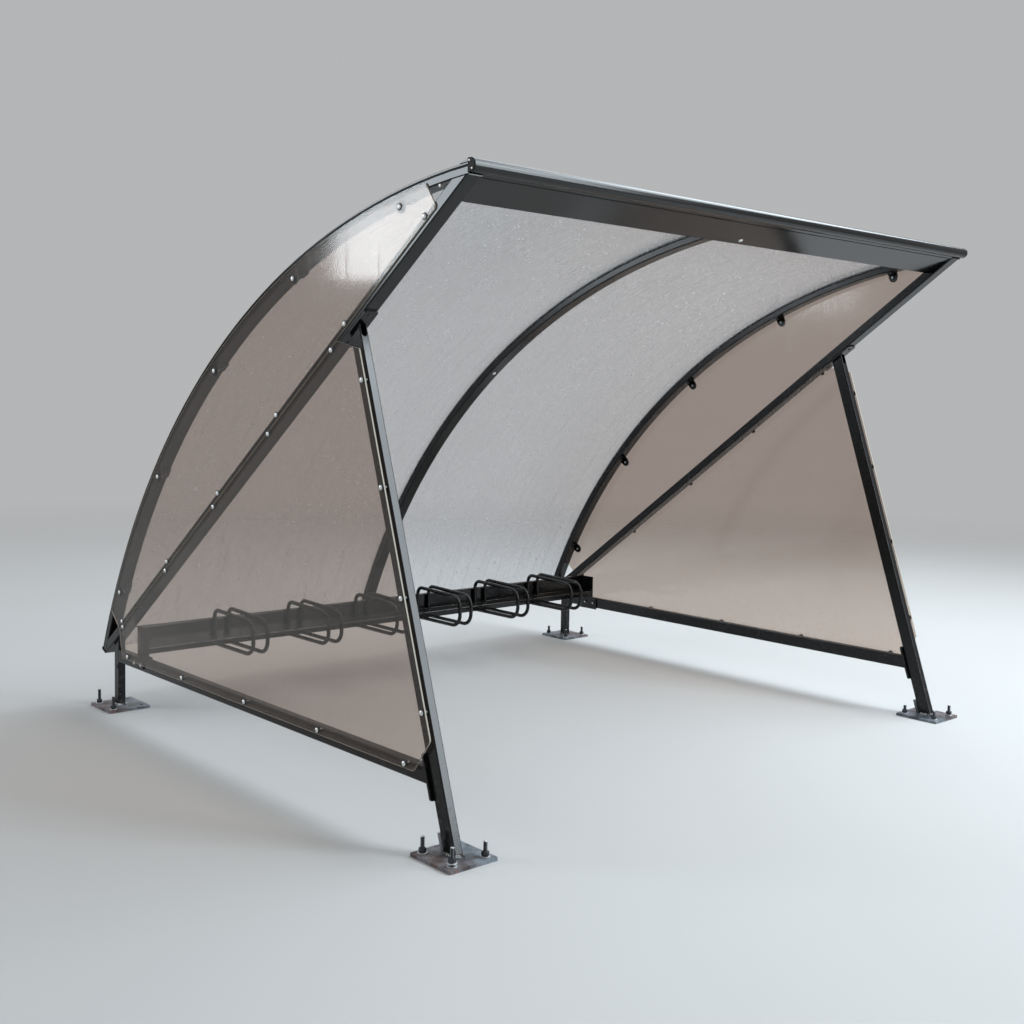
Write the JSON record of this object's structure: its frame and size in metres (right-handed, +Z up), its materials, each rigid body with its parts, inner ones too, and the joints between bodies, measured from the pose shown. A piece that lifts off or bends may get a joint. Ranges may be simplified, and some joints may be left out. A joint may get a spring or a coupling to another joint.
{
  "type": "bicycle shelter",
  "caption": "Open-fronted curved bike shelter with bent-bar wheel racks, tinted side panels and a clear bowed roof.",
  "frame": {"origin": "middle of the shelter's overall box, in the plane of the base plates' undersides", "axes": "+X along the shelter to the right as seen from the open front, +Y from the open front to the back, +Z up"},
  "size_m": [2.67, 2.3295, 1.899],
  "materials": {
    "black_paint": "gloss black powder coat",
    "plate_paint": "weathered black coat with rust and dust",
    "smoked_panel": "clear bronze-tinted sheet",
    "clear_roof": "clear sheet, scratched and dusty",
    "black_trim": "satin"
  },
  "bodies": {
    "root": {"arch_left": "black_paint", "arch_middle": "black_paint", "arch_right": "black_paint", "arch_stay": "black_paint", "back_base_left": "plate_paint", "back_base_right": "plate_paint", "back_post_left": "black_paint", "back_post_right": "black_paint", "backing_plates": "black_paint", "bottom_rail_left": "black_paint", "bottom_rail_right": "black_paint", "diagonal_left": "black_paint", "diagonal_right": "black_paint", "eave_beam": "black_paint", "eave_nose": "black_paint", "end_caps": "black_trim", "front_base_left": "plate_paint", "front_base_right": "plate_paint", "front_leg_left": "black_paint", "front_leg_right": "black_paint", "head_flange_left": "black_paint", "head_flange_right": "black_paint", "lower_panel_left": "smoked_panel", "lower_panel_right": "smoked_panel", "panel_spacers_left": "black_paint", "panel_spacers_right": "black_paint", "panel_tabs_left": "black_paint", "panel_tabs_right": "black_paint", "rack_beam": "black_paint", "rail_flange_left": "black_paint", "rail_flange_right": "black_paint", "roof_sheet_left": "clear_roof", "roof_sheet_right": "clear_roof", "roof_strip_left": "black_paint", "roof_strip_middle": "black_paint", "roof_strip_right": "black_paint", "upper_panel_left": "smoked_panel", "upper_panel_right": "smoked_panel", "wheel_rack_1": "black_paint", "wheel_rack_2": "black_paint", "wheel_rack_3": "black_paint", "wheel_rack_4": "black_paint", "wheel_rack_5": "black_paint", "wheel_rack_6": "black_paint"}
  },
  "joints": []
}
